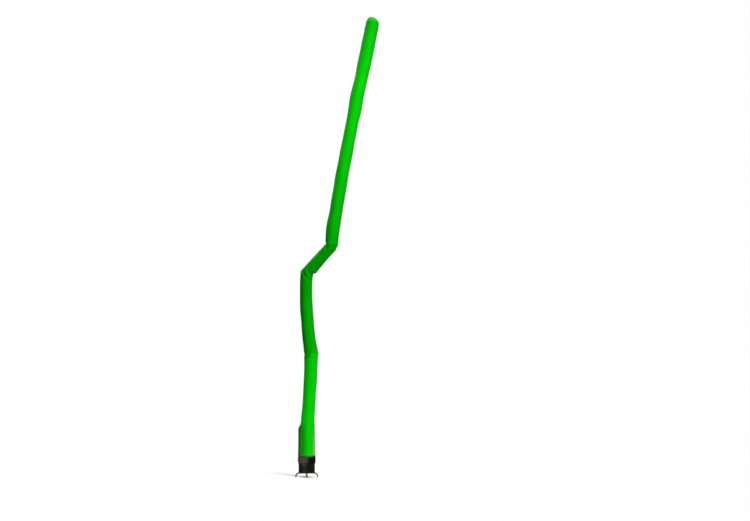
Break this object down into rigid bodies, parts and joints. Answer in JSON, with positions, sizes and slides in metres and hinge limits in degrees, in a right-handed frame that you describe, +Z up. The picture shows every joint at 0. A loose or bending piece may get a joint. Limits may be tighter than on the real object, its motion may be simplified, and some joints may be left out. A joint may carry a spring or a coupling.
{
  "type": "inflatable air dancer on its blower",
  "caption": "Tall green inflated cloth tube on a wider foot sleeve, sewn shut at its top and kinked as it sways, held by a black cloth cuff on a round black floor blower with bent rod feet.",
  "frame": {"origin": "on the ground under the middle of the whole object seen from above; the blower's own middle is at x -0.588 m, y +0.104 m, because the tube leans to +X", "axes": "+Z up, +X to the right as the tube is seen from the front, +Y away from the viewer"},
  "size_m": [1.6237, 0.7648, 9.144],
  "materials": {
    "green_nylon": "coated nylon with a soft sheen",
    "dark_cloth": "doubled dark olive cloth, matt",
    "black_cloth": "black cloth, matt",
    "black_steel": "satin black paint",
    "grey_steel": "dull grey coating",
    "black_plastic": "moulded, matt"
  },
  "bodies": {
    "root": {"dancer_tube": "green_nylon", "foot_sleeve": "green_nylon", "side_closing": "dark_cloth", "foot_cuff": "black_cloth", "blower_drum": "black_steel", "intake_ring": "black_steel", "intake_bar_1": "black_steel", "intake_bar_2": "black_steel", "intake_bar_3": "black_steel", "intake_bar_4": "black_steel", "intake_bar_5": "black_steel", "intake_bar_6": "black_steel", "intake_bar_7": "black_steel", "stand_hub": "grey_steel", "stand_leg_right": "grey_steel", "stand_leg_back": "grey_steel", "stand_leg_left": "grey_steel", "stand_leg_front": "grey_steel", "cable_gland": "black_plastic"}
  },
  "joints": []
}
